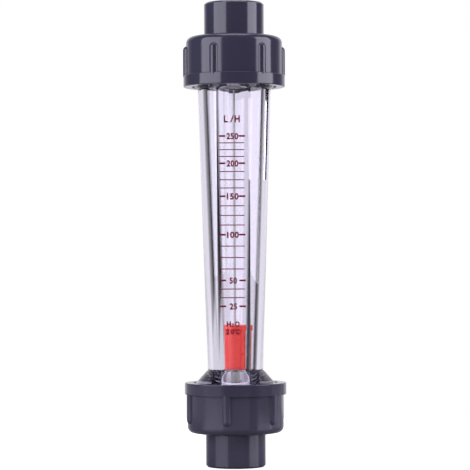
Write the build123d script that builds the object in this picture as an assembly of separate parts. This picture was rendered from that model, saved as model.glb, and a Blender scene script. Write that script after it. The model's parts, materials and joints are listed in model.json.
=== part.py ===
from build123d import *
import math
import os

# Rotameter: a clear tapered measuring tube, a float on a guide rod, and a pipe union at each end.
# Millimetres, +Z up. The origin is the middle of the lower socket's mouth. The scale faces -Y.

# Pipe socket, the same at both ends
PIPE_BORE_R = 10.1
PIPE_BORE_DEPTH = 16.0
SOCKET_WALL = 3.9
SOCKET_REACH = 15.1
MOUTH_CHAMFER = 0.8
WATERWAY_R = 8.5
FLANGE_R = 18.6
FLANGE_THICK = 5.8
FLANGE_FILLET = 1.0

# Union nut, the same at both ends
NUT_HEIGHT = 24.3
NUT_LIP = 4.4
NUT_LIP_CLEARANCE = 0.3
NUT_WALL_R = 22.5
NUT_SHOULDER_FILLET = 2.9
NUT_SHOULDER_SLOPE = 9.0
RIM_R = 23.8
RIM_HEIGHT = 5.5
RIM_FILLET = 0.4
THREAD_CLEARANCE = 0.4
RIB_COUNT = 6
RIB_R = 2.1
RIB_RISE = 1.5
RIB_SHORT_OF_SHOULDER = 5.1
RIB_INTO_RIM = 0.8
LOWER_RIB_TURN = -8.5
UPPER_RIB_TURN = 37.2

# Measuring tube: its barrel, flats and bore taper evenly from foot to head
TUBE_LENGTH = 166.6
BARREL_FOOT_R = 12.32
BARREL_HEAD_R = 17.57
FLAT_FOOT_DEPTH = 9.95
FLAT_HEAD_DEPTH = 15.75
BORE_FOOT_R = 7.7
BORE_HEAD_R = 13.4
COLLAR_R = 19.4
COLLAR_HEIGHT = 13.2
COLLAR_CHAMFER = 0.6
SKIRT_R = 19.2
SKIRT_ANGLE = 42.0
SKIRT_STEP = 0.6
SKIRT_CROWN = 1.1

# Panel sunk in the barrel beside the scale: it runs out in the front flat, and ends in a deeper facet
PANEL_DEPTH = 0.35
PANEL_FOOT = 108.7
PANEL_LENGTH = 42.5
PANEL_FROM_ANGLE = 12.0
PANEL_TO_ANGLE = 73.0
FACET_FROM_ANGLE = 60.0
FACET_FACING_ANGLE = 88.0

# Face seals
SEAL_RING_R = 16.4
SEAL_SECTION_R = 0.97
SEAL_SIDE_ROOM = 0.13
SEAL_FLOOR_ROOM = 0.05

# Guide rod, its holders, nuts, spacers and buffer washers
ROD_R = 0.75
ROD_SHORT_OF_END = 0.3
ROD_CHAMFER = 0.2
ROD_SNUG = 0.02
HOLDER_R = 14.2
HOLDER_SNUG = 0.1
HOLDER_RIM = 2.2
HOLDER_HEIGHT = 5.0
SPOKE_COUNT = 3
SPOKE_WIDTH = 1.6
SPOKE_HEIGHT = 3.0
HUB_R = 3.0
HUB_HEIGHT = 4.0
CUP_R = 7.75
CUP_WALL = 0.65
CUP_FLOOR = 1.6
CUP_HEIGHT = 5.0
CUP_HOLE_COUNT = 6
CUP_HOLE_R = 1.5
ROD_NUT_ACROSS = 3.2
ROD_NUT_HEIGHT = 1.5
SPACER_R = 2.4
LOWER_SLEEVE_LENGTH = 12.5
UPPER_BUSH_LENGTH = 8.5
BUFFER_R = 3.2
BUFFER_THICK = 1.2

# Float
FLOAT_LENGTH = 21.6
FLOAT_HEAD_R = 8.15
FLOAT_HEAD_HEIGHT = 2.4
FLOAT_WAIST_R = 7.7
FLOAT_FOOT_R = 7.4
FLOAT_HOLE_R = 1.0
FLOAT_FILLET = 0.4

# Scale: height of each labelled value's mark above the tube's foot
MARK_25 = 50.0
MARK_50 = 62.0
MARK_100 = 83.2
MARK_150 = 101.0
MARK_200 = 116.2
MARK_250 = 128.8
TICK_COUNT = 3
FIRST_TICK_COUNT = 2
MARK_SHIFT = -0.8
MARK_LENGTH = 11.6
DASH_LENGTH = 2.6
TICK_THICK = 0.45
DASH_THICK = 0.6
INK = 0.05

SOCKET_R = PIPE_BORE_R + SOCKET_WALL
FLANGE_FOOT = SOCKET_REACH + NUT_LIP
TUBE_FOOT = FLANGE_FOOT + FLANGE_THICK
TUBE_HEAD = TUBE_FOOT + TUBE_LENGTH
TOTAL = TUBE_HEAD + TUBE_FOOT
NUT_BORE_R = COLLAR_R + THREAD_CLEARANCE
NUT_END = SOCKET_REACH + NUT_HEIGHT
COUNTERBORE_R = HOLDER_R + HOLDER_SNUG
HUB_FOOT = TUBE_FOOT + ROD_SHORT_OF_END + ROD_NUT_HEIGHT
HUB_TOP = HUB_FOOT + HUB_HEIGHT
UPPER_HUB_FOOT = TOTAL - HUB_TOP
LOWER_BUFFER_FOOT = HUB_TOP + LOWER_SLEEVE_LENGTH
UPPER_BUSH_FOOT = UPPER_HUB_FOOT - UPPER_BUSH_LENGTH
FLOAT_FOOT = LOWER_BUFFER_FOOT + BUFFER_THICK
ROD_HOLE_R = ROD_R + ROD_SNUG
LABELLED_MARKS = (MARK_25, MARK_50, MARK_100, MARK_150, MARK_200, MARK_250)
UP = (Align.CENTER, Align.CENTER, Align.MIN)


def at_height(foot_value, head_value, z):
    """A size that changes evenly from the tube's foot to its head."""
    return foot_value + (head_value - foot_value) * (z - TUBE_FOOT) / TUBE_LENGTH


def turned(*outline):
    """Revolve an outline of (radius, height) points. A third number rounds that corner."""
    face = make_face(Polyline(*[point[:2] for point in outline], close=True))
    for point in outline:
        if len(point) == 3:
            corner = face.vertices().sort_by_distance(Vector(point[0], point[1], 0))[0]
            face = fillet(corner, point[2])
    return revolve(Plane.XZ * face, Axis.Z)


def ring(inner_r, outer_r, foot, height):
    return Pos(0, 0, foot) * (Cylinder(outer_r, height, align=UP) - Cylinder(inner_r, height, align=UP))


def cone(foot_r, head_r, foot, height):
    """Its seam is at the back, where the tube's flat takes it away."""
    return Pos(0, 0, foot) * Rot(0, 0, 90) * Cone(foot_r, head_r, height, align=UP)


def at_upper_end(piece):
    """The same piece at the other end of the meter, the other way up."""
    return mirror(piece, about=Plane.XY.offset(TOTAL / 2))


def end_socket():
    """Pipe socket with the flange that the nut pulls against the tube."""
    return turned(
        (PIPE_BORE_R + MOUTH_CHAMFER, 0),
        (SOCKET_R - MOUTH_CHAMFER, 0),
        (SOCKET_R, MOUTH_CHAMFER),
        (SOCKET_R, FLANGE_FOOT),
        (FLANGE_R, FLANGE_FOOT, FLANGE_FILLET),
        (FLANGE_R, TUBE_FOOT),
        (WATERWAY_R, TUBE_FOOT),
        (WATERWAY_R, PIPE_BORE_DEPTH),
        (PIPE_BORE_R, PIPE_BORE_DEPTH),
        (PIPE_BORE_R, MOUTH_CHAMFER),
    )


def nut_rib():
    """One gripping rib on the +X side: a round bar half sunk in the wall, with a domed shoulder end."""
    foot = SOCKET_REACH + RIB_SHORT_OF_SHOULDER + RIB_R
    length = NUT_END - RIM_HEIGHT + RIB_INTO_RIM - foot
    bar = Cylinder(RIB_R, length, align=UP) + Sphere(RIB_R)
    return Pos(NUT_WALL_R + RIB_RISE - RIB_R, 0, foot) * bar


def union_nut(rib_turn):
    """Ribbed nut, its lip behind the socket's flange and its rim round the tube's collar."""
    hole = SOCKET_R + NUT_LIP_CLEARANCE
    shoulder_drop = (NUT_WALL_R - hole) * math.tan(math.radians(NUT_SHOULDER_SLOPE))
    rim_foot = NUT_END - RIM_HEIGHT
    nut = turned(
        (hole, SOCKET_REACH),
        (NUT_WALL_R, SOCKET_REACH + shoulder_drop, NUT_SHOULDER_FILLET),
        (NUT_WALL_R, rim_foot),
        (RIM_R, rim_foot, RIM_FILLET),
        (RIM_R, NUT_END, RIM_FILLET),
        (NUT_BORE_R + RIM_FILLET, NUT_END),
        (NUT_BORE_R, NUT_END - RIM_FILLET),
        (NUT_BORE_R, FLANGE_FOOT),
        (hole, FLANGE_FOOT),
    )
    rib = nut_rib() - Cylinder((NUT_BORE_R + NUT_WALL_R) / 2, TOTAL)
    for place in range(RIB_COUNT):
        nut += Rot(0, 0, rib_turn - 90 + place * 360 / RIB_COUNT) * rib
    return nut


def collar_and_skirt(end_z):
    """Threaded end of the tube, with the skirt that runs down to the barrel and its flats."""
    barrel_r = at_height(BARREL_FOOT_R, BARREL_HEAD_R, end_z)
    flat_depth = at_height(FLAT_FOOT_DEPTH, FLAT_HEAD_DEPTH, end_z)
    neck_r = barrel_r + SKIRT_STEP
    neck = COLLAR_HEIGHT + (SKIRT_R - neck_r) / math.tan(math.radians(SKIRT_ANGLE))
    return turned(
        (0, 0),
        (COLLAR_R - COLLAR_CHAMFER, 0),
        (COLLAR_R, COLLAR_CHAMFER),
        (COLLAR_R, COLLAR_HEIGHT),
        (SKIRT_R, COLLAR_HEIGHT),
        (neck_r, neck),
        (flat_depth, neck + SKIRT_CROWN),
        (0, neck + SKIRT_CROWN),
    )


def tube_end_cuts():
    """Seat of the rod holder and groove of the face seal, at the tube's foot."""
    groove_half = SEAL_SECTION_R + SEAL_SIDE_ROOM
    groove_depth = 2 * SEAL_SECTION_R + SEAL_FLOOR_ROOM
    seat = Pos(0, 0, TUBE_FOOT) * Cylinder(COUNTERBORE_R, HOLDER_HEIGHT, align=UP)
    return seat + ring(SEAL_RING_R - groove_half, SEAL_RING_R + groove_half, TUBE_FOOT, groove_depth)


def side_panel():
    """What is cut away for the sunk panel, from the scale flat round to the side."""
    foot = TUBE_FOOT + PANEL_FOOT
    head = foot + PANEL_LENGTH
    foot_r = at_height(BARREL_FOOT_R, BARREL_HEAD_R, foot)
    head_r = at_height(BARREL_FOOT_R, BARREL_HEAD_R, head)
    far = 2 * head_r
    corners = [
        (far * math.sin(math.radians(angle)), -far * math.cos(math.radians(angle)))
        for angle in (PANEL_FROM_ANGLE, PANEL_TO_ANGLE)
    ]
    wedge = Pos(0, 0, foot) * extrude(make_face(Polyline((0, 0), *corners, close=True)), amount=PANEL_LENGTH)
    inward = math.cos(math.radians(FACET_FACING_ANGLE - FACET_FROM_ANGLE))
    side = Polyline((foot_r * inward, foot), (far, foot), (far, head), (head_r * inward, head), close=True)
    facet = Rot(0, 0, FACET_FACING_ANGLE - 90) * extrude(Plane.XZ * make_face(side), amount=far, both=True)
    return (wedge - cone(foot_r - PANEL_DEPTH, head_r - PANEL_DEPTH, foot, PANEL_LENGTH)) + (wedge & facet)


def tube_body():
    """The clear moulding: tapered barrel with front and back flats, skirts, collars and bore."""
    flats = make_face(
        Polyline(
            (-FLAT_FOOT_DEPTH, TUBE_FOOT),
            (FLAT_FOOT_DEPTH, TUBE_FOOT),
            (FLAT_HEAD_DEPTH, TUBE_HEAD),
            (-FLAT_HEAD_DEPTH, TUBE_HEAD),
            close=True,
        )
    )
    barrel = cone(BARREL_FOOT_R, BARREL_HEAD_R, TUBE_FOOT, TUBE_LENGTH)
    barrel = barrel & extrude(Plane.YZ * flats, amount=2 * BARREL_HEAD_R, both=True)
    foot_end = Pos(0, 0, TUBE_FOOT) * collar_and_skirt(TUBE_FOOT + COLLAR_HEIGHT)
    head_end = at_upper_end(Pos(0, 0, TUBE_FOOT) * collar_and_skirt(TUBE_HEAD - COLLAR_HEIGHT))
    bore = cone(BORE_FOOT_R, BORE_HEAD_R, TUBE_FOOT, TUBE_LENGTH)
    end_cuts = tube_end_cuts()
    return barrel - side_panel() + foot_end + head_end - bore - end_cuts - at_upper_end(end_cuts)


def seal_ring():
    """Face seal in its groove, pressed flush by the socket's flange."""
    section = Pos(SEAL_RING_R, TUBE_FOOT + SEAL_SECTION_R) * Circle(SEAL_SECTION_R)
    return revolve(Plane.XZ * section, Axis.Z)


def rod_holder():
    """Ring, spokes and hub that carry the rod's end in the tube's seat."""
    holder = ring(HOLDER_R - HOLDER_RIM, HOLDER_R, TUBE_FOOT, HOLDER_HEIGHT)
    spoke_length = HOLDER_R - HOLDER_RIM / 2
    spoke_foot = TUBE_FOOT + HOLDER_HEIGHT - SPOKE_HEIGHT
    spoke = Box(spoke_length, SPOKE_WIDTH, SPOKE_HEIGHT, align=(Align.MIN, Align.CENTER, Align.MIN))
    for place in range(SPOKE_COUNT):
        holder += Rot(0, 0, 90 + place * 360 / SPOKE_COUNT) * Pos(0, 0, spoke_foot) * spoke
    holder += Pos(0, 0, HUB_FOOT) * Cylinder(HUB_R, HUB_HEIGHT, align=UP)
    return holder - Pos(0, 0, HUB_FOOT) * Cylinder(ROD_HOLE_R, HUB_HEIGHT, align=UP)


def lower_rod_holder():
    """The holder at the foot also has a cup, which stands up in the bore round the stop sleeve."""
    floor_foot = HUB_TOP - CUP_FLOOR
    floor = ring(ROD_HOLE_R, CUP_R, floor_foot, CUP_FLOOR)
    wall = ring(CUP_R - CUP_WALL, CUP_R, HUB_TOP, CUP_HEIGHT)
    hole_place = (HUB_R + CUP_R - CUP_WALL) / 2
    for place in range(CUP_HOLE_COUNT):
        turn = (place + 0.5) * 360 / CUP_HOLE_COUNT
        floor -= Rot(0, 0, 90 + turn) * Pos(hole_place, 0, floor_foot) * Cylinder(CUP_HOLE_R, CUP_FLOOR, align=UP)
    return rod_holder() + floor + wall


def rod_nut():
    """Small hexagon nut between the hub and the rod's end."""
    hexagon = RegularPolygon(ROD_NUT_ACROSS / 2, 6, major_radius=False) - Circle(ROD_HOLE_R)
    return Pos(0, 0, HUB_FOOT - ROD_NUT_HEIGHT) * extrude(hexagon, amount=ROD_NUT_HEIGHT)


def guide_rod():
    length = TUBE_LENGTH - 2 * ROD_SHORT_OF_END
    rod = Pos(0, 0, TUBE_FOOT + ROD_SHORT_OF_END) * Cylinder(ROD_R, length, align=UP)
    return chamfer(rod.edges().filter_by(GeomType.CIRCLE), ROD_CHAMFER)


def float_body():
    """The float: a wide head, whose top is read, on a body that narrows to its foot."""
    top = FLOAT_FOOT + FLOAT_LENGTH
    waist = top - FLOAT_HEAD_HEIGHT
    return turned(
        (FLOAT_HOLE_R, FLOAT_FOOT),
        (FLOAT_FOOT_R, FLOAT_FOOT, FLOAT_FILLET),
        (FLOAT_WAIST_R, waist),
        (FLOAT_HEAD_R, waist),
        (FLOAT_HEAD_R, top, FLOAT_FILLET),
        (FLOAT_HOLE_R, top),
    )


def mark(z, length, thick, x=0.0):
    """One printed line on the front flat, which leans out towards the head. The print sits off centre."""
    lean = math.atan2(FLAT_HEAD_DEPTH - FLAT_FOOT_DEPTH, TUBE_LENGTH)
    depth = at_height(FLAT_FOOT_DEPTH, FLAT_HEAD_DEPTH, z)
    face = Plane(origin=(0, -depth, z), x_dir=(1, 0, 0), z_dir=(0, -math.cos(lean), -math.sin(lean)))
    return face * Pos(x + MARK_SHIFT, 0, INK / 2) * Box(length, thick, INK)


def scale_marks():
    """Ticks between the labelled values, and two dashes beside the place of each numeral."""
    dash_x = (MARK_LENGTH - DASH_LENGTH) / 2
    marks = []
    for height in LABELLED_MARKS:
        marks += [mark(TUBE_FOOT + height, DASH_LENGTH, DASH_THICK, x) for x in (-dash_x, dash_x)]
    for low, high in zip(LABELLED_MARKS, LABELLED_MARKS[1:]):
        ticks = FIRST_TICK_COUNT if low == MARK_25 else TICK_COUNT
        for tick in range(1, ticks + 1):
            height = low + (high - low) * tick / (ticks + 1)
            marks.append(mark(TUBE_FOOT + height, MARK_LENGTH, TICK_THICK))
    return Compound(children=marks)


pieces = {
    "tube_body": tube_body(),
    "scale_marks": scale_marks(),
    "guide_rod": guide_rod(),
    "lower_rod_holder": lower_rod_holder(),
    "lower_rod_nut": rod_nut(),
    "lower_stop_sleeve": ring(ROD_HOLE_R, SPACER_R, HUB_TOP, LOWER_SLEEVE_LENGTH),
    "lower_buffer_washer": ring(ROD_HOLE_R, BUFFER_R, LOWER_BUFFER_FOOT, BUFFER_THICK),
    "upper_rod_holder": at_upper_end(rod_holder()),
    "upper_rod_nut": at_upper_end(rod_nut()),
    "upper_stop_bush": ring(ROD_HOLE_R, SPACER_R, UPPER_BUSH_FOOT, UPPER_BUSH_LENGTH),
    "upper_buffer_washer": ring(ROD_HOLE_R, BUFFER_R, UPPER_BUSH_FOOT - BUFFER_THICK, BUFFER_THICK),
    "lower_o_ring": seal_ring(),
    "upper_o_ring": at_upper_end(seal_ring()),
    "float_body": float_body(),
    "lower_end_socket": end_socket(),
    "lower_union_nut": union_nut(LOWER_RIB_TURN),
    "upper_end_socket": at_upper_end(end_socket()),
    "upper_union_nut": at_upper_end(union_nut(UPPER_RIB_TURN)),
}

os.makedirs("parts", exist_ok=True)
for name, piece in pieces.items():
    export_step(piece, f"parts/{name}.step")
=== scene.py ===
import bpy
import bmesh
import json
import math
from mathutils import Matrix, Vector


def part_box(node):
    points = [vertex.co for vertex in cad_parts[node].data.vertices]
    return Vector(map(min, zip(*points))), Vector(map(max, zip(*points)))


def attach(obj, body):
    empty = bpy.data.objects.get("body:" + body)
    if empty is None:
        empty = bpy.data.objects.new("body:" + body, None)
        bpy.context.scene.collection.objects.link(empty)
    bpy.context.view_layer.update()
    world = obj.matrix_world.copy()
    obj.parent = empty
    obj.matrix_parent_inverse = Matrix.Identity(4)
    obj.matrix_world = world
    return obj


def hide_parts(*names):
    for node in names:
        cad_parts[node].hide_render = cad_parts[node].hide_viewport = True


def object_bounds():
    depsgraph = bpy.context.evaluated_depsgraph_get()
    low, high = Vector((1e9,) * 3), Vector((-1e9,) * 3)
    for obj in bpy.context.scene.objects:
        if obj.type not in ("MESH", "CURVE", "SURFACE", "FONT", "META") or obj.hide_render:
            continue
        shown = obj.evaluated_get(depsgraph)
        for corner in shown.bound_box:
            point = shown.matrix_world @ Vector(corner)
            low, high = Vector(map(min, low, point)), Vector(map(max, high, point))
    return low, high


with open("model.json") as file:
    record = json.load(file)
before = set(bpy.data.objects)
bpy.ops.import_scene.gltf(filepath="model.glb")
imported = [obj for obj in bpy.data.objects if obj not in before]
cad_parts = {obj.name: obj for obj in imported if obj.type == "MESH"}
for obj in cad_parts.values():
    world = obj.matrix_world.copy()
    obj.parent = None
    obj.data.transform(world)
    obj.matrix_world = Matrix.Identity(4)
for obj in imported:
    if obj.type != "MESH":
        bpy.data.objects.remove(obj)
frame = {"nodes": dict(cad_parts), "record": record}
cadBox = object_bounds()
scene = bpy.context.scene
nodes = frame["nodes"]
mm = 0.001


def span(node):  # lowest and highest z of a CAD piece
    low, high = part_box(node)
    return low.z, high.z


tubeFoot, tubeHead = span("tube_body")
meterTop = cadBox[1][2]
print("frame loaded, meter", round(meterTop / mm, 1), "mm tall")

# camera: looks level from just below the meter's middle, a little to the right of the scale
cameraSet = {
    "turn": 2.2,  # degrees towards +X
    "distance": 0.98,
    "eyeHeight": 0.0963,
    "lens": 160.0,  # in mm, as the sensor
    "sensorWidth": 36.0,
    "clipStart": 0.05,
    "shiftUp": 0.0553,
    "roll": -0.27,  # degrees: the photo leans a little
}


def addCamera(s):
    data = bpy.data.cameras.new("photoCamera")
    data.lens = s["lens"]
    data.sensor_width = s["sensorWidth"]
    data.shift_y = s["shiftUp"]
    data.clip_start = s["clipStart"]
    cam = bpy.data.objects.new("photoCamera", data)
    scene.collection.objects.link(cam)
    turn = math.radians(s["turn"])
    place = Vector((math.sin(turn), -math.cos(turn), 0)) * s["distance"]
    place.z = s["eyeHeight"]
    cam.matrix_world = (
        Matrix.Translation(place)
        @ Matrix.Rotation(turn, 4, "Z")
        @ Matrix.Rotation(math.radians(90), 4, "X")
        @ Matrix.Rotation(math.radians(s["roll"]), 4, "Z")
    )
    scene.camera = cam


addCamera(cameraSet)
scene.view_settings.view_transform = "Standard"
print("camera placed")


# small helpers for node trees
def wire(tree, start, end):
    tree.links.new(start, end)


def addNode(tree, kind, **values):
    node = tree.nodes.new(kind)
    for name, value in values.items():
        setattr(node, name, value)
    return node


def mathNode(tree, how, a, b=None, c=None):
    node = addNode(tree, "ShaderNodeMath", operation=how)
    for socket, value in zip(node.inputs, (a, b, c)):
        if value is None:
            continue
        if isinstance(value, (int, float)):
            socket.default_value = value
        else:
            wire(tree, value, socket)
    return node.outputs[0]


# studio: a white backdrop behind the meter that falls off to the sides, and dark round the camera
studioSet = {
    # degrees from straight behind the meter, brightness
    "backdrop": (
        (-180, 0.03), (-62, 0.01), (-56, 0.09), (-46, 0.26), (-38, 0.46), (-29, 0.92),
        (32, 0.92), (38, 0.78), (45, 0.36), (52, 0.15), (62, 0.04), (180, 0.03),
    ),
    # pale room behind the camera, seen only through the clear plastic: it fades in between two angles
    # in radians, then its brightness
    "roomBehind": (2.1, 2.4, 0.75),
    "light": (0.95, 0.925, 1.0),
    "boxLight": (0.88, 0.84, 1.0),
    "lowLeft": 0.72,  # brightness of a pale table at the left, below eye level
    "lowLeftEdges": (-0.05, -0.064),  # z of the directions between which it fades in
    "lowLeftSide": -0.5,  # x of the direction where it starts
    "floorSide": 0.6,
    "floorColor": (0.34, 0.335, 0.35),
    "floorSheen": 0.32,
    "floorGlow": (0.95, 0.5),  # to the camera, and through the clear plastic
}


def addWorld(s):
    world = bpy.data.worlds.new("studio")
    scene.world = world
    world.use_nodes = True
    tree = world.node_tree
    tree.nodes.clear()
    coord = addNode(tree, "ShaderNodeTexCoord")
    turned = addNode(tree, "ShaderNodeVectorRotate", rotation_type="Z_AXIS")
    turned.inputs["Angle"].default_value = -math.radians(cameraSet["turn"])
    wire(tree, coord.outputs["Generated"], turned.inputs["Vector"])
    split = addNode(tree, "ShaderNodeSeparateXYZ")
    wire(tree, turned.outputs["Vector"], split.inputs[0])
    side = mathNode(tree, "ARCTAN2", split.outputs["X"], split.outputs["Y"])  # 0 straight behind
    share = mathNode(tree, "MULTIPLY_ADD", side, 0.5 / math.pi, 0.5)
    ramp = addNode(tree, "ShaderNodeValToRGB")
    points = ramp.color_ramp.elements
    for number, (angle, level) in enumerate(s["backdrop"]):
        at = 0.5 + angle / 360
        point = points[number] if number < 2 else points.new(at)
        point.position = at
        point.color = (level, level, level, 1)
    wire(tree, share, ramp.inputs["Fac"])
    low = addNode(tree, "ShaderNodeMapRange")
    low.inputs["From Min"].default_value, low.inputs["From Max"].default_value = s["lowLeftEdges"]
    wire(tree, split.outputs["Z"], low.inputs["Value"])
    left = mathNode(tree, "LESS_THAN", split.outputs["X"], s["lowLeftSide"])
    table = mathNode(tree, "MULTIPLY", low.outputs[0], left)
    table = mathNode(tree, "MULTIPLY", table, s["lowLeft"])
    path = addNode(tree, "ShaderNodeLightPath")
    room = addNode(tree, "ShaderNodeMapRange")
    fadeFrom, fadeTo, bright = s["roomBehind"]
    room.inputs["From Min"].default_value = fadeFrom
    room.inputs["From Max"].default_value = fadeTo
    wire(tree, mathNode(tree, "ABSOLUTE", side), room.inputs["Value"])
    through = mathNode(tree, "MULTIPLY", path.outputs["Is Transmission Ray"], bright)
    seen = mathNode(tree, "MAXIMUM", table, mathNode(tree, "MULTIPLY", room.outputs[0], through))
    level = mathNode(tree, "MAXIMUM", ramp.outputs["Color"], seen)
    tint = addNode(tree, "ShaderNodeVectorMath", operation="SCALE")
    tint.inputs[0].default_value = s["light"]
    wire(tree, level, tint.inputs["Scale"])
    plain = addNode(tree, "ShaderNodeBackground")
    plain.inputs["Color"].default_value = (1, 1, 1, 1)
    lit = addNode(tree, "ShaderNodeBackground")
    wire(tree, tint.outputs[0], lit.inputs["Color"])
    mix = addNode(tree, "ShaderNodeMixShader")
    wire(tree, path.outputs["Is Camera Ray"], mix.inputs["Fac"])
    wire(tree, lit.outputs[0], mix.inputs[1])
    wire(tree, plain.outputs[0], mix.inputs[2])
    out = addNode(tree, "ShaderNodeOutputWorld")
    wire(tree, mix.outputs[0], out.inputs["Surface"])


def addFloor(s):
    half = s["floorSide"] / 2
    mesh = bpy.data.meshes.new("floor")
    corners = [(-half, -half, 0), (half, -half, 0), (half, half, 0), (-half, half, 0)]
    mesh.from_pydata(corners, [], [(0, 1, 2, 3)])
    floor = bpy.data.objects.new("floor", mesh)
    scene.collection.objects.link(floor)
    material = bpy.data.materials.new("floorWhite")
    material.use_nodes = True
    tree = material.node_tree
    tree.nodes.clear()
    card = addNode(tree, "ShaderNodeBsdfPrincipled")
    card.inputs["Base Color"].default_value = (*s["floorColor"], 1)
    card.inputs["Roughness"].default_value = s["floorSheen"]
    glow = addNode(tree, "ShaderNodeEmission")
    path = addNode(tree, "ShaderNodeLightPath")
    plain, through = s["floorGlow"]
    seen = mathNode(tree, "MULTIPLY", path.outputs["Is Camera Ray"], plain)
    seen = mathNode(tree, "MULTIPLY_ADD", path.outputs["Is Transmission Ray"], through, seen)
    wire(tree, seen, glow.inputs["Strength"])
    both = addNode(tree, "ShaderNodeAddShader")
    wire(tree, card.outputs[0], both.inputs[0])
    wire(tree, glow.outputs[0], both.inputs[1])
    out = addNode(tree, "ShaderNodeOutputMaterial")
    wire(tree, both.outputs[0], out.inputs["Surface"])
    mesh.materials.append(material)


# soft boxes, and two cards of light by the lower nut: angle from the camera's side of the meter,
# lowest and highest edge, and whether the clear plastic lets it be seen
softBoxes = {
    "leftBox": {
        "angle": -57.0, "distance": 1.0, "width": 1.0,
        "low": 0.03, "high": 1.0, "bright": 4.0, "seenThrough": True,
    },
    "rightBox": {
        "angle": 75.5, "distance": 1.0, "width": 0.79,
        "low": 0.03, "high": 1.0, "bright": 5.0, "seenThrough": False,
    },
    "topBox": {
        "angle": 0.0, "distance": 0.0, "width": 0.7,
        "low": 1.2, "high": 1.2, "bright": 2.4, "seenThrough": True,
    },
    "frontCard": {
        "angle": -20.0, "distance": 0.12, "width": 0.3,
        "low": 0.004, "high": 0.026, "bright": 0.4, "seenThrough": False,
    },
    "sideCard": {
        "angle": 106.0, "distance": 0.2, "width": 0.15,
        "low": 0.0, "high": 0.03, "bright": 0.5, "seenThrough": False,
    },
}


def addSoftBox(name, s):
    around = math.radians(s["angle"] + cameraSet["turn"])
    data = bpy.data.lights.new(name, "AREA")
    data.shape = "RECTANGLE"
    data.size = s["width"]
    flat = s["high"] == s["low"]
    data.size_y = s["width"] if flat else s["high"] - s["low"]
    data.energy = s["bright"] * math.pi * data.size * data.size_y
    data.color = studioSet["boxLight"]
    light = bpy.data.objects.new(name, data)
    scene.collection.objects.link(light)
    place = Vector((math.sin(around), -math.cos(around), 0)) * s["distance"]
    place.z = (s["low"] + s["high"]) / 2
    upright = Matrix.Rotation(around, 4, "Z") @ Matrix.Rotation(math.radians(90), 4, "X")
    light.matrix_world = Matrix.Translation(place) @ (Matrix.Identity(4) if flat else upright)
    light.visible_camera = False
    light.visible_transmission = s["seenThrough"]


addWorld(studioSet)
addFloor(studioSet)
for boxName, boxSet in softBoxes.items():
    addSoftBox(boxName, boxSet)
print("studio lit")


# shared effect: the slight unevenness of moulded plastic
skinSet = {
    "cloudDetail": 4.0,
    "roughSwing": 0.3,  # how far the roughness follows the clouds
    "swellScale": 220.0,
    "swellDetail": 1.0,
    "swellHeight": 0.00002,
}


def makeMouldedSkin(s):
    group = bpy.data.node_groups.new("mouldedSkin", "ShaderNodeTree")
    face = group.interface
    face.new_socket(name="Color", in_out="INPUT", socket_type="NodeSocketColor")
    for name in ("Mottle", "Scale", "Roughness", "Wave"):
        face.new_socket(name=name, in_out="INPUT", socket_type="NodeSocketFloat")
    face.new_socket(name="Color", in_out="OUTPUT", socket_type="NodeSocketColor")
    face.new_socket(name="Roughness", in_out="OUTPUT", socket_type="NodeSocketFloat")
    face.new_socket(name="Normal", in_out="OUTPUT", socket_type="NodeSocketVector")
    start = addNode(group, "NodeGroupInput")
    end = addNode(group, "NodeGroupOutput")
    coord = addNode(group, "ShaderNodeTexCoord")
    cloud = addNode(group, "ShaderNodeTexNoise")
    cloud.inputs["Detail"].default_value = s["cloudDetail"]
    wire(group, coord.outputs["Object"], cloud.inputs["Vector"])
    wire(group, start.outputs["Scale"], cloud.inputs["Scale"])
    uneven = mathNode(group, "SUBTRACT", cloud.outputs["Fac"], 0.5)
    shade = mathNode(group, "MULTIPLY_ADD", uneven, start.outputs["Mottle"], 1.0)
    tint = addNode(group, "ShaderNodeVectorMath", operation="SCALE")
    wire(group, start.outputs["Color"], tint.inputs[0])
    wire(group, shade, tint.inputs["Scale"])
    wire(group, tint.outputs[0], end.inputs["Color"])
    rough = mathNode(group, "MULTIPLY_ADD", uneven, s["roughSwing"], 1.0)
    rough = mathNode(group, "MULTIPLY", rough, start.outputs["Roughness"])
    wire(group, rough, end.inputs["Roughness"])
    swell = addNode(group, "ShaderNodeTexNoise")
    swell.inputs["Scale"].default_value = s["swellScale"]
    swell.inputs["Detail"].default_value = s["swellDetail"]
    wire(group, coord.outputs["Object"], swell.inputs["Vector"])
    bump = addNode(group, "ShaderNodeBump")
    bump.inputs["Distance"].default_value = s["swellHeight"]
    wire(group, swell.outputs["Fac"], bump.inputs["Height"])
    wire(group, start.outputs["Wave"], bump.inputs["Strength"])
    wire(group, bump.outputs[0], end.inputs["Normal"])
    return group


skin = makeMouldedSkin(skinSet)


def plastic(name, color, mottle, scale, roughness, wave, **shader):
    material = bpy.data.materials.new(name)
    material.use_nodes = True
    tree = material.node_tree
    bsdf = tree.nodes["Principled BSDF"]
    for socket, value in shader.items():
        bsdf.inputs[socket.replace("_", " ")].default_value = value
    look = addNode(tree, "ShaderNodeGroup", node_tree=skin)
    look.inputs["Color"].default_value = (*color, 1)
    look.inputs["Mottle"].default_value = mottle
    look.inputs["Scale"].default_value = scale
    look.inputs["Roughness"].default_value = roughness
    look.inputs["Wave"].default_value = wave
    wire(tree, look.outputs["Color"], bsdf.inputs["Base Color"])
    wire(tree, look.outputs["Roughness"], bsdf.inputs["Roughness"])
    wire(tree, look.outputs["Normal"], bsdf.inputs["Normal"])
    return material


clearSet = {"color": (0.945, 0.925, 0.99), "roughness": 0.012, "bending": 1.54, "shine": 0.3}


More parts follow.
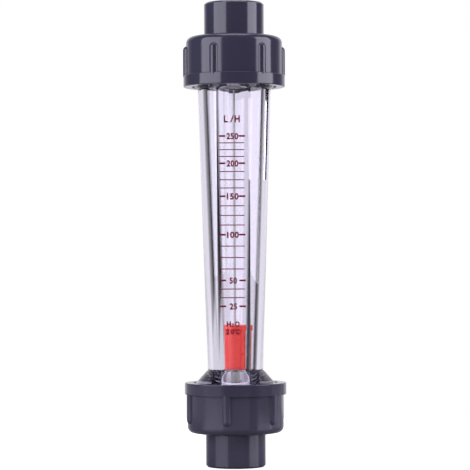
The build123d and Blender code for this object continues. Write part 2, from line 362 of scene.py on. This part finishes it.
def clearPlastic(s):
    material = bpy.data.materials.new("clearPlastic")
    material.use_nodes = True
    bsdf = material.node_tree.nodes["Principled BSDF"]
    bsdf.inputs["Base Color"].default_value = (*s["color"], 1)
    bsdf.inputs["Roughness"].default_value = s["roughness"]
    bsdf.inputs["IOR"].default_value = s["bending"]
    bsdf.inputs["Transmission Weight"].default_value = 1.0
    bsdf.inputs["Specular IOR Level"].default_value = s["shine"]
    return material


steelSet = {
    "dark": (0.27, 0.28, 0.26),
    "light": (0.44, 0.46, 0.42),
    "grainScale": 4000.0,
    "grainStretch": (1, 1, 0.02),  # drawn out along the rod
    "roughness": 0.45,
    "roughSwing": 0.2,
}


def rodSteel(s):
    material = bpy.data.materials.new("rodSteel")
    material.use_nodes = True
    tree = material.node_tree
    bsdf = tree.nodes["Principled BSDF"]
    bsdf.inputs["Metallic"].default_value = 1.0
    coord = addNode(tree, "ShaderNodeTexCoord")
    stretch = addNode(tree, "ShaderNodeMapping")
    stretch.inputs["Scale"].default_value = s["grainStretch"]
    wire(tree, coord.outputs["Object"], stretch.inputs["Vector"])
    drawn = addNode(tree, "ShaderNodeTexNoise")
    drawn.inputs["Scale"].default_value = s["grainScale"]
    wire(tree, stretch.outputs[0], drawn.inputs["Vector"])
    ramp = addNode(tree, "ShaderNodeValToRGB")
    ramp.color_ramp.elements[0].color = (*s["dark"], 1)
    ramp.color_ramp.elements[1].color = (*s["light"], 1)
    wire(tree, drawn.outputs["Fac"], ramp.inputs["Fac"])
    wire(tree, ramp.outputs["Color"], bsdf.inputs["Base Color"])
    rough = mathNode(tree, "MULTIPLY_ADD", drawn.outputs["Fac"], s["roughSwing"], s["roughness"])
    wire(tree, rough, bsdf.inputs["Roughness"])
    return material


# each finish: color, mottle and its scale, roughness, wave
finishes = {
    "grey_plastic": plastic("greyPlastic", (0.05, 0.049, 0.0745), 0.12, 90, 0.13, 0.12),
    "red_plastic": plastic(
        "redPlastic", (0.64, 0.028, 0.012), 0.08, 120, 0.28, 0.05,
        Subsurface_Weight=0.3, Subsurface_Radius=(0.003, 0.0006, 0.0005), Subsurface_Scale=1.0,
    ),
    "inner_plastic": plastic("innerPlastic", (0.8, 0.79, 0.82), 0.06, 200, 0.4, 0.1),
    "seal_rubber": plastic("sealRubber", (0.02, 0.02, 0.022), 0.2, 400, 0.6, 0.3),
    "scale_print": plastic("scaleInk", (0.2, 0.003, 0.022), 0.2, 2500, 0.45, 0.0),
    "clear_plastic": clearPlastic(clearSet),
    "steel": rodSteel(steelSet),
}
slotOf = {row["node"]: row["material_slot"] for row in frame["record"]["subparts"]}
for nodeName, node in nodes.items():
    for place in range(max(1, len(node.material_slots))):
        if not node.material_slots:
            node.data.materials.append(None)
        node.material_slots[place].material = finishes[slotOf[nodeName]]
print("materials ready")


def finishPiece(obj, body, slotName, sharpAngle=None):
    if not obj.data.materials:
        obj.data.materials.append(finishes[slotName])
    if sharpAngle is not None:
        for face in obj.data.polygons:
            face.use_smooth = True
        obj.data.set_sharp_from_angle(angle=math.radians(sharpAngle))
    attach(obj, body)


def meshObject(name, vertices, faces):
    mesh = bpy.data.meshes.new(name)
    mesh.from_pydata(vertices, [], faces)
    obj = bpy.data.objects.new(name, mesh)
    scene.collection.objects.link(obj)
    return obj


def facesOut(obj, weld=1e-7):  # points closer than weld, in metres, become one
    work = bmesh.new()
    work.from_mesh(obj.data)
    bmesh.ops.remove_doubles(work, verts=work.verts, dist=weld)
    bmesh.ops.recalc_face_normals(work, faces=work.faces)
    work.to_mesh(obj.data)
    work.free()


# clear tube: sizes in mm from the tube's foot, as it was moulded
tubeSet = {
    "barrelFoot": 12.32,
    "barrelHead": 17.57,
    "flatFoot": 9.95,
    "flatHead": 15.75,
    "corner": 0.4,  # rounding where a flat meets the round
    "flatEdge": 0.08,  # width of the flat's outermost strip
    "boreFoot": 7.7,
    "boreHead": 13.4,
    "collar": 18.3,  # the collar's core, inside its thread
    "collarHeight": 13.2,
    "collarChamfer": 0.6,
    "collarTop": 1.0,  # height of the collar left above its thread
    "collarStep": 0.2,  # height over which it widens to the skirt
    "skirt": 19.2,
    "skirtAngle": 42.0,
    "skirtStep": 0.6,
    "skirtCrown": 1.1,
    "seat": 14.3,  # of the rod holder
    "seatDepth": 5.0,
    "seal": 16.4,
    "sealHalf": 1.1,
    "sealDepth": 1.99,
    "cutPast": 1.0,  # how far a cut runs out of the tube's ends
    "panelDepth": 0.35,
    "panelFoot": 108.7,
    "panelLength": 42.5,
    "panelAngles": (12.0, 73.0),
    "panelRows": 12,
    "panelReach": 1.5,  # how far its cut stands out of the barrel
    "facet": (60.0, 88.0),  # where the panel's flat end starts, and the way it faces
    "around": 256,
    "rings": 40,
    "flatSteps": 6,
    "cornerSteps": 6,
    "crownSteps": 8,
    "barrelFrom": 0.03,  # the barrel's first ring and its run, as shares of the tube
    "barrelRun": 0.94,
    "pitch": 2.309,
    "rowsPerPitch": 12,
    "threadDepth": 1.1,
    "threadTurns": 5.2,
    "threadSkin": 0.05,  # points this near the core's wall are lifted
    "footThreadStart": 0.5,
    "headThreadStart": 0.7,
    "sharpAngle": 14,
}
tubeLength = (tubeHead - tubeFoot) / mm


def taper(s, name, height):  # a size at a height above the tube's foot
    foot, head = s[name + "Foot"], s[name + "Head"]
    return foot + (head - foot) * height / tubeLength


def sweepRings(name, ringPoints):
    # rings of equal length joined by quads, closed with a face at each end
    count = len(ringPoints[0])
    vertices = [point for ringRow in ringPoints for point in ringRow]
    faces = []
    for row in range(len(ringPoints) - 1):
        for at in range(count):
            a, b = row * count + at, row * count + (at + 1) % count
            faces.append((a, b, b + count, a + count))
    last = (len(ringPoints) - 1) * count
    faces.append(tuple(range(count - 1, -1, -1)))
    faces.append(tuple(range(last, last + count)))
    return meshObject(name, vertices, faces)


def barrelRing(s, height):
    radius, depth, corner = taper(s, "barrel", height), taper(s, "flat", height), s["corner"]
    inner = radius - corner
    edge = math.acos((depth - corner) / inner)  # where the corner meets the round, from the front
    halfFlat = inner * math.sin(edge)
    near = halfFlat - s["flatEdge"]
    across = [-halfFlat, -near]
    across += [near * (2 * k / s["flatSteps"] - 1) for k in range(1, s["flatSteps"])]
    across.append(near)
    half = [(x, -depth) for x in across]
    for k in range(s["cornerSteps"]):
        turn = edge * k / s["cornerSteps"]
        half.append((halfFlat + corner * math.sin(turn), corner - depth - corner * math.cos(turn)))
    count = s["around"] // 2
    for k in range(count):
        turn = edge + (math.pi - 2 * edge) * k / count
        half.append((radius * math.sin(turn), -radius * math.cos(turn)))
    for k in range(s["cornerSteps"]):
        turn = edge * (1 - k / s["cornerSteps"])
        half.append((halfFlat + corner * math.sin(turn), depth - corner + corner * math.cos(turn)))
    z = tubeFoot + height * mm
    return [(x * side * mm, y * side * mm, z) for side in (1, -1) for x, y in half]


def lathe(name, outline, around):
    # outline of (radius, height) in mm above the tube's foot: from the axis back to it, or a closed ring
    vertices, faces, rows = [], [], []
    for radius, height in outline:
        z = tubeFoot + height * mm
        if not radius:
            rows.append([len(vertices)])
            vertices.append((0, 0, z))
            continue
        rows.append(list(range(len(vertices), len(vertices) + around)))
        for at in range(around):
            turn = 2 * math.pi * at / around
            vertices.append((radius * math.cos(turn) * mm, radius * math.sin(turn) * mm, z))
    startsOnAxis = not outline[0][0]
    for low, high in zip(rows, rows[1:] if startsOnAxis else rows[1:] + rows[:1]):
        for at in range(around):
            after = (at + 1) % around
            if len(low) == 1:
                faces.append((low[0], high[after], high[at]))
            elif len(high) == 1:
                faces.append((low[at], low[after], high[0]))
            else:
                faces.append((low[at], low[after], high[after], high[at]))
    obj = meshObject(name, vertices, faces)
    facesOut(obj)
    return obj


def collarOutline(s, height):
    neck = taper(s, "barrel", height) + s["skirtStep"]
    flat = taper(s, "flat", height)
    top = s["collarHeight"] + (s["skirt"] - neck) / math.tan(math.radians(s["skirtAngle"]))
    straight = s["collarHeight"] - s["collarTop"]
    rows = int(straight / s["pitch"] * s["rowsPerPitch"])
    outer = [(0, 0), (s["collar"] - s["collarChamfer"], 0)]
    for row in range(rows + 1):
        outer.append((s["collar"], s["collarChamfer"] + straight * row / rows))
    outer += [(s["skirt"], s["collarHeight"] - s["collarStep"]), (s["skirt"], s["collarHeight"])]
    crown = []
    for step in range(s["crownSteps"] + 1):  # the skirt's top rounds in to the flat
        share = step / s["crownSteps"]
        rise = s["skirtCrown"] * math.sin(share * math.pi / 2)
        crown.append((neck + (flat - neck) * share, top + rise))
    return outer + crown + [(0, top + s["skirtCrown"])]


def mirrorUp(outline):
    return [(radius, tubeLength - height) for radius, height in outline]


threadRuleSet = {
    "valley": 0.92,  # shares of half a pitch where the valley ends and the crest starts
    "crest": 0.12,
    "fade": 0.5,  # pitches over which the thread runs out at each end
}


def makeThreadRule(s):
    # lifts the collar's wall into a right-hand thread that fades out at both ends
    group = bpy.data.node_groups.new("threadRule", "GeometryNodeTree")
    face = group.interface
    face.new_socket(name="Geometry", in_out="INPUT", socket_type="NodeSocketGeometry")
    for name in ("Pitch", "Depth", "Foot", "Length", "Wall"):
        face.new_socket(name=name, in_out="INPUT", socket_type="NodeSocketFloat")
    face.new_socket(name="Material", in_out="INPUT", socket_type="NodeSocketMaterial")
    face.new_socket(name="Geometry", in_out="OUTPUT", socket_type="NodeSocketGeometry")
    start, end = addNode(group, "NodeGroupInput"), addNode(group, "NodeGroupOutput")
    given = start.outputs
    place = addNode(group, "GeometryNodeInputPosition")
    split = addNode(group, "ShaderNodeSeparateXYZ")
    wire(group, place.outputs[0], split.inputs[0])
    flat = addNode(group, "ShaderNodeCombineXYZ")
    wire(group, split.outputs["X"], flat.inputs["X"])
    wire(group, split.outputs["Y"], flat.inputs["Y"])
    reach = addNode(group, "ShaderNodeVectorMath", operation="LENGTH")
    wire(group, flat.outputs[0], reach.inputs[0])
    outward = addNode(group, "ShaderNodeVectorMath", operation="NORMALIZE")
    wire(group, flat.outputs[0], outward.inputs[0])
    angle = mathNode(group, "ARCTAN2", split.outputs["Y"], split.outputs["X"])
    up = mathNode(group, "SUBTRACT", split.outputs["Z"], given["Foot"])
    turns = mathNode(group, "DIVIDE", up, given["Pitch"])
    share = mathNode(group, "DIVIDE", angle, 2 * math.pi)
    phase = mathNode(group, "FRACT", mathNode(group, "SUBTRACT", turns, share))
    saw = mathNode(group, "SUBTRACT", mathNode(group, "MULTIPLY", phase, 2.0), 1.0)
    saw = mathNode(group, "ABSOLUTE", saw)  # 1 in the valley, 0 on the crest
    crest = addNode(group, "ShaderNodeMapRange", interpolation_type="SMOOTHSTEP")
    crest.inputs["From Min"].default_value = s["valley"]
    crest.inputs["From Max"].default_value = s["crest"]
    wire(group, saw, crest.inputs["Value"])
    left = mathNode(group, "SUBTRACT", given["Length"], up)
    fadeLength = mathNode(group, "MULTIPLY", given["Pitch"], s["fade"])
    near = mathNode(group, "DIVIDE", mathNode(group, "MINIMUM", up, left), fadeLength)
    fade = addNode(group, "ShaderNodeClamp")
    wire(group, near, fade.inputs["Value"])
    rise = mathNode(group, "MULTIPLY", crest.outputs[0], fade.outputs[0])
    rise = mathNode(group, "MULTIPLY", rise, given["Depth"])
    push = addNode(group, "ShaderNodeVectorMath", operation="SCALE")
    wire(group, outward.outputs[0], push.inputs[0])
    wire(group, rise, push.inputs["Scale"])
    lift = addNode(group, "GeometryNodeSetPosition")
    wire(group, given["Geometry"], lift.inputs["Geometry"])
    onWall = mathNode(group, "GREATER_THAN", reach.outputs["Value"], given["Wall"])
    wire(group, onWall, lift.inputs["Selection"])
    wire(group, push.outputs[0], lift.inputs["Offset"])
    real = addNode(group, "GeometryNodeRealizeInstances")
    wire(group, lift.outputs[0], real.inputs[0])
    paint = addNode(group, "GeometryNodeSetMaterial")
    wire(group, real.outputs[0], paint.inputs["Geometry"])
    wire(group, given["Material"], paint.inputs["Material"])
    wire(group, paint.outputs[0], end.inputs[0])
    return group


def applyRule(obj, group, **values):
    # runs a Geometry Nodes rule on an object and keeps the result as its mesh
    rule = obj.modifiers.new(group.name, "NODES")
    rule.node_group = group
    for item in group.interface.items_tree:
        if item.in_out == "INPUT" and item.name in values:
            rule[item.identifier] = values[item.name]
    depsgraph = bpy.context.evaluated_depsgraph_get()
    made = bpy.data.meshes.new_from_object(obj.evaluated_get(depsgraph))
    obj.modifiers.remove(rule)
    obj.data = made


threadRule = makeThreadRule(threadRuleSet)


def cutThread(collar, foot, s):
    applyRule(
        collar,
        threadRule,
        Pitch=s["pitch"] * mm,
        Depth=s["threadDepth"] * mm,
        Foot=foot,
        Length=s["pitch"] * s["threadTurns"] * mm,
        Wall=(s["collar"] - s["threadSkin"]) * mm,
        Material=finishes["clear_plastic"],
    )
    return collar


def panelSolid(s):
    # what is cut away for the sunk panel beside the scale
    vertices, faces = [], []
    low, high = s["panelAngles"]
    start, facing = s["facet"]
    across, up = round(high - low), s["panelRows"]  # a column for each degree
    for outer in (False, True):
        for row in range(up + 1):
            height = s["panelFoot"] + s["panelLength"] * row / up
            barrel = taper(s, "barrel", height)
            for at in range(across + 1):
                angle = low + (high - low) * at / across
                facet = barrel * math.cos(math.radians(facing - start))
                facet /= math.cos(math.radians(angle - facing))
                radius = barrel + s["panelReach"] if outer else min(barrel - s["panelDepth"], facet)
                turn = math.radians(angle)
                x, y = radius * math.sin(turn) * mm, -radius * math.cos(turn) * mm
                vertices.append((x, y, tubeFoot + height * mm))
    layerSize = (up + 1) * (across + 1)
    for row in range(up):
        for at in range(across):
            a = row * (across + 1) + at
            quad = (a, a + 1, a + across + 2, a + across + 1)
            faces += [quad, tuple(layerSize + k for k in quad)]
    border = list(range(across))
    border += [across + (across + 1) * k for k in range(up)]
    border += [layerSize - 1 - k for k in range(across)]
    border += [(across + 1) * (up - k) for k in range(up)]
    for a, b in zip(border, border[1:] + border[:1]):
        faces.append((a, b, b + layerSize, a + layerSize))
    obj = meshObject("panelSolid", vertices, faces)
    facesOut(obj)
    return obj


def combine(obj, other, how):
    cut = obj.modifiers.new(how, "BOOLEAN")
    cut.operation = how
    cut.solver = "EXACT"
    cut.object = other
    depsgraph = bpy.context.evaluated_depsgraph_get()
    made = bpy.data.meshes.new_from_object(obj.evaluated_get(depsgraph))
    obj.modifiers.remove(cut)
    obj.data = made
    bpy.data.objects.remove(other)


def makeTube(s):
    rings = s["rings"]
    rows = [tubeLength * (s["barrelFrom"] + s["barrelRun"] * k / rings) for k in range(rings + 1)]
    tube = sweepRings("clearTube", [barrelRing(s, height) for height in rows])
    facesOut(tube)
    combine(tube, panelSolid(s), "DIFFERENCE")
    foot = lathe("footEnd", collarOutline(s, s["collarHeight"]), s["around"])
    combine(tube, cutThread(foot, tubeFoot + s["footThreadStart"] * mm, s), "UNION")
    head = lathe("headEnd", mirrorUp(collarOutline(s, tubeLength - s["collarHeight"])), s["around"])
    headThread = tubeHead - (s["collarHeight"] - s["headThreadStart"]) * mm
    combine(tube, cutThread(head, headThread, s), "UNION")
    over, seatTop = s["cutPast"], s["seatDepth"]
    boreLow, boreHigh = taper(s, "bore", seatTop), taper(s, "bore", tubeLength - seatTop)
    bore = [(0, -over), (s["seat"], -over), (s["seat"], seatTop), (boreLow, seatTop)]
    for row in range(1, rings):
        height = seatTop + (tubeLength - 2 * seatTop) * row / rings
        bore.append((taper(s, "bore", height), height))
    bore += [(boreHigh, tubeLength - seatTop), (s["seat"], tubeLength - seatTop)]
    bore += [(s["seat"], tubeLength + over), (0, tubeLength + over)]
    combine(tube, lathe("boreCut", bore, s["around"]), "DIFFERENCE")
    near, far = s["seal"] - s["sealHalf"], s["seal"] + s["sealHalf"]
    groove = [(near, -over), (far, -over), (far, s["sealDepth"]), (near, s["sealDepth"])]
    combine(tube, lathe("footGroove", groove, s["around"]), "DIFFERENCE")
    combine(tube, lathe("headGroove", mirrorUp(groove), s["around"]), "DIFFERENCE")
    return tube


clearTube = makeTube(tubeSet)
clearTube.visible_shadow = False  # light reaches the float through the clear wall
finishPiece(clearTube, "meter_body", "clear_plastic", tubeSet["sharpAngle"])
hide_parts("tube_body")
print("clear tube moulded", len(clearTube.data.polygons), "faces")

# printed numerals and units on the front flat
printSet = {
    # each numeral, and how far up the scale its mark stands
    "values": ((25, 0.0), (50, 0.1523), (100, 0.4213), (150, 0.6472), (200, 0.8401), (250, 1.0)),
    "shift": -0.8,  # the print sits off the flat's centre
    "digitHeight": 2.8,
    "digitWidth": {2: 3.45, 3: 5.5},  # of a numeral with so many digits
    "digitShift": 0.4,
    "digitSpacing": 1.12,
    "bold": 0.16,
    "dash": 0.6,  # thickness of the first and the last mark
    "bars": ((-5.7, -2.95), (3.55, 6.2)),  # the heavy dashes beside each numeral
    "barHeight": 0.85,
    "ink": 0.04,
    "capShare": 0.73,  # height of a capital in a font size of 1
    # a line above the top mark and two below the lowest one: how far off, and for each letter its name,
    # height, width, place across and up, and boldness
    "unit": (8.0, (
        ("unitLitre", "L", 3.2, 1.8, -2.6, 0.0, 0.16),
        ("unitSlash", "/", 3.2, 1.9, 0.3, 0.0, 0.05),
        ("unitHour", "H", 3.2, 2.4, 2.7, 0.0, 0.16),
    )),
    "medium": (-8.2, (
        ("mediumPrint", "H", 2.35, 2.0, -1.75, 0.0, 0.17),
        ("mediumTwo", "2", 1.6, 1.0, 0.05, -0.5, 0.085),
        ("mediumOxygen", "O", 2.35, 2.1, 2.2, 0.0, 0.17),
    )),
    "warmth": (-11.75, (
        ("warmthTwo", "2", 2.35, 1.55, -2.3, 0.0, 0.17),
        ("warmthZero", "0", 2.35, 1.6, -0.1, 0.0, 0.085),
        ("warmthDegree", "\u00b0", 2.35, 0.6, 1.1, 0.0, 0.085),
        ("warmthScale", "C", 2.35, 1.6, 2.45, 0.0, 0.17),
    )),
}


def addPrint(name, words, z, height, width, x, bold, s, spacing=1.0):
    curve = bpy.data.curves.new(name, "FONT")
    curve.body = words
    curve.size = height / s["capShare"] * mm
    curve.align_x = "CENTER"
    curve.extrude = s["ink"] / 2 * mm
    curve.space_character = spacing
    curve.offset = bold * mm
    text = bpy.data.objects.new(name, curve)
    scene.collection.objects.link(text)
    depsgraph = bpy.context.evaluated_depsgraph_get()
    mesh = bpy.data.meshes.new_from_object(text.evaluated_get(depsgraph))
    bpy.data.objects.remove(text)
    obj = bpy.data.objects.new(name, mesh)
    scene.collection.objects.link(obj)
    edges = [point.co.x for point in mesh.vertices]
    middle, wide = (min(edges) + max(edges)) / 2, max(edges) - min(edges)
    lean = math.atan2(tubeSet["flatHead"] - tubeSet["flatFoot"], tubeLength)
    depth = taper(tubeSet, "flat", (z - tubeFoot) / mm) * mm
    mesh.transform(
        Matrix.Translation(((s["shift"] + x) * mm, -depth, z))
        @ Matrix.Rotation(lean, 4, "X")
        @ Matrix.Rotation(math.radians(90), 4, "X")
        @ Matrix.Translation((0, -height / 2 * mm, s["ink"] / 2 * mm))
        @ Matrix.Scale(width * mm / wide, 4, (1, 0, 0))
        @ Matrix.Translation((-middle, 0, 0))
    )
    finishPiece(obj, "meter_body", "scale_print")


def addBar(name, z, ends, s):
    low, high = (end + s["shift"] for end in ends)
    half, proud = s["barHeight"] / 2, s["ink"]
    outline = ((low, -half), (high, -half), (high, half), (low, half))
    corners = [(x, y, up) for y in (0, proud) for x, up in outline]
    depth = taper(tubeSet, "flat", (z - tubeFoot) / mm)
    slope = (tubeSet["flatHead"] - tubeSet["flatFoot"]) / tubeLength
    points = [(x * mm, -(depth + slope * up + y) * mm, z + up * mm) for x, y, up in corners]
    sides = [(k, (k + 1) % 4, (k + 1) % 4 + 4, k + 4) for k in range(4)]
    bar = meshObject(name, points, [(3, 2, 1, 0), (4, 5, 6, 7)] + sides)
    facesOut(bar)
    finishPiece(bar, "meter_body", "scale_print")


def addPrints(s):
    low, high = span("scale_marks")
    low, high = low + s["dash"] / 2 * mm, high - s["dash"] / 2 * mm
    for value, share in s["values"]:
        words = str(value)
        wide = s["digitWidth"][len(words)]
        markAt = low + (high - low) * share
        addPrint(
            f"numeral{value}", words, markAt, s["digitHeight"], wide,
            s["digitShift"], s["bold"], s, s["digitSpacing"],
        )
        for side, ends in zip(("Left", "Right"), s["bars"]):
            addBar(f"dash{side}{value}", markAt, ends, s)
    for line, mark in (("unit", high), ("medium", low), ("warmth", low)):
        off, letters = s[line]
        for name, letter, height, width, x, up, bold in letters:
            addPrint(name, letter, mark + off * mm + up * mm, height, width, x, bold, s)


addPrints(printSet)
print("scale printed")
